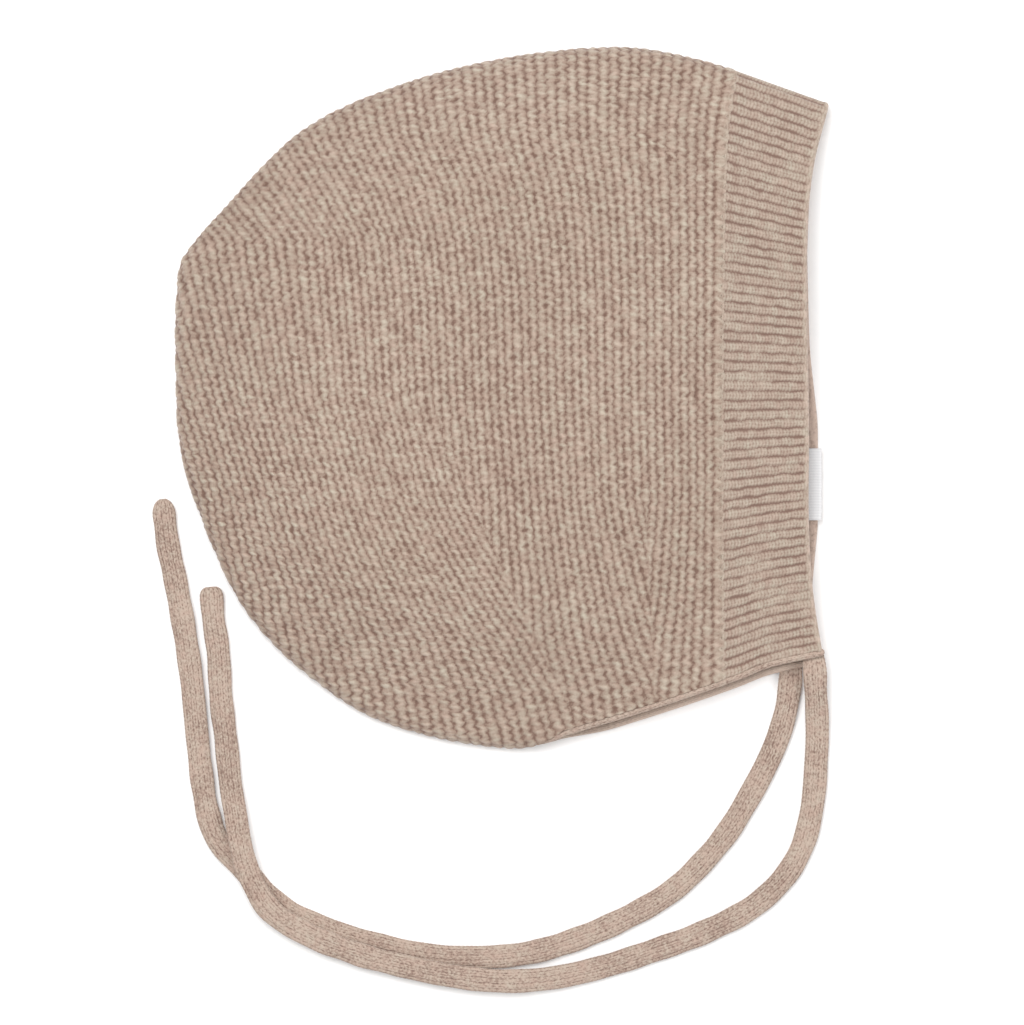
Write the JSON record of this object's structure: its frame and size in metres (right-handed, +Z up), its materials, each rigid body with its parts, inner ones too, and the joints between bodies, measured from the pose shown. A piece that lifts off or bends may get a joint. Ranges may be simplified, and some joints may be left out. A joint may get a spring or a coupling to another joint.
{
  "type": "knitted baby bonnet",
  "caption": "Knitted baby bonnet lying folded flat, a garter-stitch crown with a ribbed face band, a rolled neck edge and flat knitted ties.",
  "frame": {"origin": "middle of the bonnet's underside as it lies, without its ties", "axes": "+X to the face opening, +Y to the top of the head, +Z up from the surface it lies on"},
  "size_m": [0.1704, 0.2365, 0.0206],
  "materials": {
    "garter_knit": "heathered beige wool, garter stitch",
    "rib_knit": "heathered beige wool, one by one rib",
    "plain_knit": "heathered beige wool, rolled plain knit",
    "tie_knit": "heathered beige wool, tubular plain knit",
    "label_satin": "white woven satin ribbon"
  },
  "bodies": {
    "root": {"crown": "garter_knit", "face_band": "rib_knit", "neck_binding": "plain_knit", "tie_near": "tie_knit", "tie_far": "tie_knit", "label": "label_satin"}
  },
  "joints": []
}
